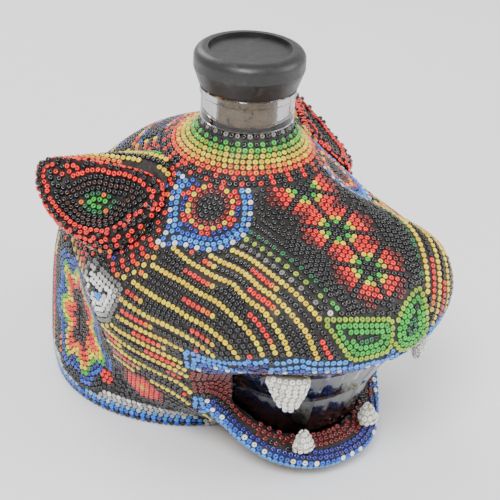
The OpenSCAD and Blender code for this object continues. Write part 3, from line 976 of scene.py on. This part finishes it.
def bead_glass():
    f = Finish("bead_glass")
    own = f.make("ShaderNodeAttribute", out="Color", attribute_name="bead_colour")
    swirl = f.noise(900.0, 2.0)
    tone = f.blend(f.ramp(swirl, 0.35, 0.7, 0.0, 0.22), own, (0.0, 0.0, 0.0))
    return f.done(Base_Color=tone, Roughness=f.ramp(f.noise(500.0), 0.3, 0.7, 0.13, 0.32), IOR=1.52,
                  Coat_Weight=f.ramp(f.noise(180.0), 0.3, 0.7, 0.25, 0.6), Coat_Roughness=0.08,
                  Normal=f.bump(f.noise(1500.0, 2.0), 0.00006))


def dark_wax():
    f = Finish("dark_wax")
    dust = f.noise(700.0, 6.0)
    tone = f.blend(f.ramp(dust, 0.4, 0.75), (0.005, 0.004, 0.004), (0.018, 0.011, 0.008))
    return f.done(Base_Color=tone, Roughness=f.ramp(f.noise(250.0), 0.3, 0.7, 0.45, 0.75),
                  Normal=f.bump(f.noise(900.0, 5.0), 0.0004))


def pale_wax():
    f = Finish("pale_wax")
    tone = f.blend(f.ramp(f.noise(400.0), 0.35, 0.7), (0.42, 0.36, 0.25), (0.62, 0.57, 0.45))
    return f.done(Base_Color=tone, Roughness=f.ramp(f.noise(250.0), 0.3, 0.7, 0.4, 0.65),
                  Normal=f.bump(f.noise(900.0, 5.0), 0.0003))


def smoke_glass():
    f = Finish("smoke_glass")
    return f.done(Base_Color=(0.48, 0.49, 0.48), Roughness=f.ramp(f.noise(60.0), 0.35, 0.7, 0.03, 0.10),
                  Transmission_Weight=1.0, IOR=1.5, Normal=f.bump(f.noise(45.0, 2.0), 0.0006, 0.35))


def satin_black():
    f = Finish("satin_black")
    scuff = f.ramp(f.noise(220.0, 8.0, 0.7), 0.56, 0.72)
    tone = f.blend(scuff, (0.010, 0.010, 0.011), (0.040, 0.038, 0.037))
    return f.done(Base_Color=tone, Roughness=f.ramp(f.noise(400.0, 6.0), 0.3, 0.7, 0.34, 0.52) + scuff * 0.12,
                  Coat_Weight=0.12, Coat_Roughness=0.3, Normal=f.bump(f.noise(1800.0, 3.0), 0.00008))


def cork_grain():
    f = Finish("cork_grain")
    cells = f.make("ShaderNodeTexVoronoi", {"Vector": f.place, "Scale": 900.0}, "Distance")
    pits = f.ramp(f.noise(420.0, 5.0), 0.58, 0.68)
    tone = f.blend(f.ramp(f.noise(260.0, 5.0), 0.35, 0.7), (0.66, 0.42, 0.21), (0.46, 0.26, 0.11))
    tone = f.blend(pits, tone, (0.11, 0.05, 0.022))
    return f.done(Base_Color=tone, Roughness=f.ramp(f.noise(300.0), 0.3, 0.7, 0.7, 0.9),
                  Normal=f.bump(cells - pits, 0.0005))


def studio_paper():
    f = Finish("studio_paper")
    tone = f.blend(f.ramp(f.noise(3.0), 0.3, 0.7), (0.90, 0.90, 0.90), (0.93, 0.93, 0.93))
    return f.done(Base_Color=tone, Roughness=f.ramp(f.noise(20.0), 0.3, 0.7, 0.75, 0.85))


# ---------------------------------------------------------------- pieces

RING = 0.60             # a bead's ring radius and the thickness of its glass
THICK = 0.42
SQUAT = 1.05            # a bead's height against its thickness
AROUND, ACROSS = 10, 5  # faces round a bead and across its glass


def bead_setter():
    """A node tree that sets a glass ring on each point, facing along the point's attribute."""
    tree = bpy.data.node_groups.new("bead_setter", "GeometryNodeTree")
    ids = {}
    for name, kind in (("Places", "Geometry"), ("Ring Radius", "Float"), ("Glass Thickness", "Float"),
                       ("Height", "Float"), ("Tilt", "Float"), ("Seed", "Int"), ("Finish", "Material")):
        socket = tree.interface.new_socket(name, in_out="INPUT", socket_type="NodeSocket" + kind)
        ids[name] = socket.identifier
    tree.interface.new_socket("Beads", in_out="OUTPUT", socket_type="NodeSocketGeometry")
    start = tree.nodes.new("NodeGroupInput")
    given = {s.name: Value(tree, s) for s in start.outputs if s.name}
    ring = node(tree, "GeometryNodeCurvePrimitiveCircle", {"Resolution": AROUND,
                                                           "Radius": given["Ring Radius"]})
    side = node(tree, "GeometryNodeCurvePrimitiveCircle", {"Resolution": ACROSS,
                                                           "Radius": given["Glass Thickness"]})
    bead = node(tree, "GeometryNodeCurveToMesh", {"Curve": ring, "Profile Curve": side})
    squat = node(tree, "ShaderNodeCombineXYZ", {"X": 1.0, "Y": 1.0, "Z": given["Height"]})
    bead = node(tree, "GeometryNodeTransform", {"Geometry": bead, "Scale": squat})
    bead = node(tree, "GeometryNodeSetShadeSmooth", {"Geometry": bead})
    facing = node(tree, "GeometryNodeInputNamedAttribute", {"Name": "facing"}, data_type="FLOAT_VECTOR")
    size = node(tree, "GeometryNodeInputNamedAttribute", {"Name": "bead_size"}, data_type="FLOAT")
    least = node(tree, "ShaderNodeCombineXYZ", {"X": 0.0 - given["Tilt"], "Y": 0.0 - given["Tilt"],
                                                "Z": 0.0 - given["Tilt"]})
    most = node(tree, "ShaderNodeCombineXYZ", {"X": given["Tilt"], "Y": given["Tilt"], "Z": given["Tilt"]})
    lean = node(tree, "FunctionNodeRandomValue", {"Min": least, "Max": most, "Seed": given["Seed"]},
                data_type="FLOAT_VECTOR")
    leaning = node(tree, "ShaderNodeVectorMath", {0: facing, 1: lean}, operation="ADD")
    turn = node(tree, "FunctionNodeAlignRotationToVector", {"Vector": leaning}, axis="Z")
    many = node(tree, "GeometryNodeInstanceOnPoints", {"Points": given["Places"], "Instance": bead,
                                                       "Rotation": turn, "Scale": size})
    real = node(tree, "GeometryNodeRealizeInstances", {"Geometry": many})
    done = node(tree, "GeometryNodeSetMaterial", {"Geometry": real, "Material": given["Finish"]})
    node(tree, "NodeGroupOutput", {"Beads": done})
    return tree, ids


def bead_cells(mesh, count):
    """Gives each bead its own small square of the texture."""
    each = len(mesh.vertices) // count
    side = math.ceil(math.sqrt(count))
    corner = np.empty(len(mesh.loops), int)
    mesh.loops.foreach_get("vertex_index", corner)
    co = np.empty(len(mesh.vertices) * 3)
    mesh.vertices.foreach_get("co", co)
    owner_bead, place = corner // each, corner % each
    angle = (place // ACROSS) * 2 * math.pi / AROUND
    reach = np.where(place % ACROSS < 2, 0.36, 0.24)
    u = (owner_bead % side + 0.5 + reach * np.cos(angle)) / side
    v = (owner_bead // side + 0.5 + reach * np.sin(angle)) / side
    layer = mesh.uv_layers.new(name="OFBake")
    layer.data.foreach_set("uv", np.stack([u, v], axis=1).astype(np.float32).ravel())


setter, setter_ids = bead_setter()
bead_finish, wax_finish = bead_glass(), dark_wax()


def add_piece(name, mesh, material, replaced, body="bottle"):
    """Puts a finished mesh in the scene as a piece that stands for CAD nodes."""
    mesh.name = name
    thing = bpy.data.objects.new(name, mesh)
    bpy.context.scene.collection.objects.link(thing)
    mesh.materials.clear()
    mesh.materials.append(material)
    mesh.shade_smooth()
    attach(thing, body)
    if replaced:
        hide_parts(*replaced)
    return thing


def bead_piece(name, chosen, seed):
    """One CAD panel's beads as one mesh."""
    mesh = bpy.data.meshes.new("places")
    mesh.from_pydata([tuple(x * MM for x in beads.points[i]) for i in chosen], [], [])
    facing = np.array([beads.normals[i] for i in chosen])
    tone = np.array([COLOURS[beads.colours[i]] for i in chosen])
    tone = tone * rng.uniform(0.72, 1.22, (len(chosen), 1)) * rng.uniform(0.94, 1.06, tone.shape)
    tone = np.concatenate([np.clip(tone, 0, 0.9), np.ones((len(chosen), 1))], axis=1)
    mesh.attributes.new("facing", "FLOAT_VECTOR", "POINT").data.foreach_set("vector", facing.ravel())
    mesh.attributes.new("bead_size", "FLOAT", "POINT").data.foreach_set(
        "value", rng.uniform(0.93, 1.04, len(chosen)))
    mesh.attributes.new("bead_colour", "FLOAT_COLOR", "POINT").data.foreach_set("color", tone.ravel())
    thing = bpy.data.objects.new("places", mesh)
    bpy.context.scene.collection.objects.link(thing)
    work = thing.modifiers.new("beads", "NODES")
    work.node_group = setter
    for label, value in (("Ring Radius", RING * MM), ("Glass Thickness", THICK * MM), ("Height", SQUAT),
                         ("Tilt", 0.13), ("Seed", seed), ("Finish", bead_finish)):
        work[setter_ids[label]] = value
    graph = bpy.context.evaluated_depsgraph_get()
    made = bpy.data.meshes.new_from_object(thing.evaluated_get(graph), depsgraph=graph)
    bpy.data.objects.remove(thing)
    bpy.data.meshes.remove(mesh)
    bead_cells(made, len(chosen))
    made.polygons.foreach_set("material_index", [0] * len(made.polygons))
    return add_piece(name + "_beads", made, bead_finish, [name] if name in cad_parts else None)


def closed_shell(name, skin, up, down):
    """A thin closed layer that follows a skin, from up above its base to down below it."""
    count = len(skin.base)
    over, under = skin.base + up * skin.normals, skin.base - down * skin.normals
    edges = np.concatenate([skin.tris[:, [0, 1]], skin.tris[:, [1, 2]], skin.tris[:, [2, 0]]])
    ways = {tuple(e) for e in edges.tolist()}
    rim = [(b, a) for a, b in sorted(ways) if (b, a) not in ways]
    walls = [(a, b, b + count) for a, b in rim] + [(a, b + count, a + count) for a, b in rim]
    faces = skin.tris.tolist() + (skin.tris[:, ::-1] + count).tolist() + [tuple(w) for w in walls]
    mesh = bpy.data.meshes.new(name)
    mesh.from_pydata((np.concatenate([over, under]) * MM).tolist(), [], faces)
    mesh.update()
    return mesh


piece_of = np.array(piece_of)
for seed, name in enumerate(sorted(set(piece_of))):
    bead_piece(name, np.flatnonzero(piece_of == name), seed)

add_piece("wax_layer", closed_shell("wax_layer", head, WAX_RISE, 0.5), wax_finish, ["wax_bed"])
white_core = pale_wax()
for name in [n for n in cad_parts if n.endswith("_fang")]:
    tooth = Skin(*cad_mesh(name), levels=2, rise=-0.35)
    core = mesh_from(name, tooth.base - 0.75 * tooth.normals, tooth.tris)
    add_piece(name + "_core", core, white_core, None)

finishes = {"glass_bottle": smoke_glass(), "stopper_cap": satin_black(), "stopper_cork": cork_grain()}
finishes["glass_neck"] = finishes["glass_bottle"]
finishes["right_ear_core"] = finishes["left_ear_core"] = wax_finish
for name, material in finishes.items():
    mesh_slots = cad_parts[name].material_slots
    for mesh_slot in mesh_slots:
        mesh_slot.material = material


# ---------------------------------------------------------------- floor, light and camera

floor_mesh = bpy.data.meshes.new("floor")
floor_mesh.from_pydata([(-6, -6, 0), (6, -6, 0), (6, 6, 0), (-6, 6, 0)], [], [(0, 1, 2, 3)])
floor = bpy.data.objects.new("floor", floor_mesh)
floor_mesh.materials.append(studio_paper())
bpy.context.scene.collection.objects.link(floor)

world = bpy.data.worlds.new("studio")
world.use_nodes = True
world.node_tree.nodes["Background"].inputs["Color"].default_value = (1.0, 1.0, 1.0, 1.0)
world.node_tree.nodes["Background"].inputs["Strength"].default_value = 1.0
bpy.context.scene.world = world


def soft_light(name, place, aim, size, power):
    lamp = bpy.data.lights.new(name, "AREA")
    lamp.shape = "DISK"
    lamp.size = size
    lamp.energy = power
    thing = bpy.data.objects.new(name, lamp)
    thing.location = place
    thing.rotation_euler = (Vector(aim) - Vector(place)).to_track_quat("-Z", "Y").to_euler()
    bpy.context.scene.collection.objects.link(thing)


soft_light("key_light", (-0.55, -0.45, 0.85), (0, 0, 0.06), 0.45, 12)
soft_light("fill_light", (0.7, -0.6, 0.5), (0, 0, 0.06), 0.7, 5)
soft_light("back_light", (0.1, 0.9, 0.7), (0, 0, 0.08), 0.5, 5)

azimuth, elevation, roll = math.radians(-39.5), math.radians(28.2), math.radians(3.0)
back = np.array([math.sin(azimuth) * math.cos(elevation), -math.cos(azimuth) * math.cos(elevation),
                 math.sin(elevation)])
level_right = np.array([math.cos(azimuth), math.sin(azimuth), 0.0])
upright = np.cross(back, level_right)
across = level_right * math.cos(roll) + upright * math.sin(roll)
upward = upright * math.cos(roll) - level_right * math.sin(roll)
aim = np.array([0, 0, 110.0])
place = (aim - across * -1.02 - upward * 45.22 + back * 510) * MM
lens = bpy.data.cameras.new("camera")
lens.lens = 108.0
lens.sensor_width = 36.0
camera = bpy.data.objects.new("camera", lens)
bpy.context.scene.collection.objects.link(camera)
turn = np.eye(4)
turn[:3, 0], turn[:3, 1], turn[:3, 2], turn[:3, 3] = across, upward, back, place
camera.matrix_world = Matrix(turn.tolist())
bpy.context.scene.camera = camera
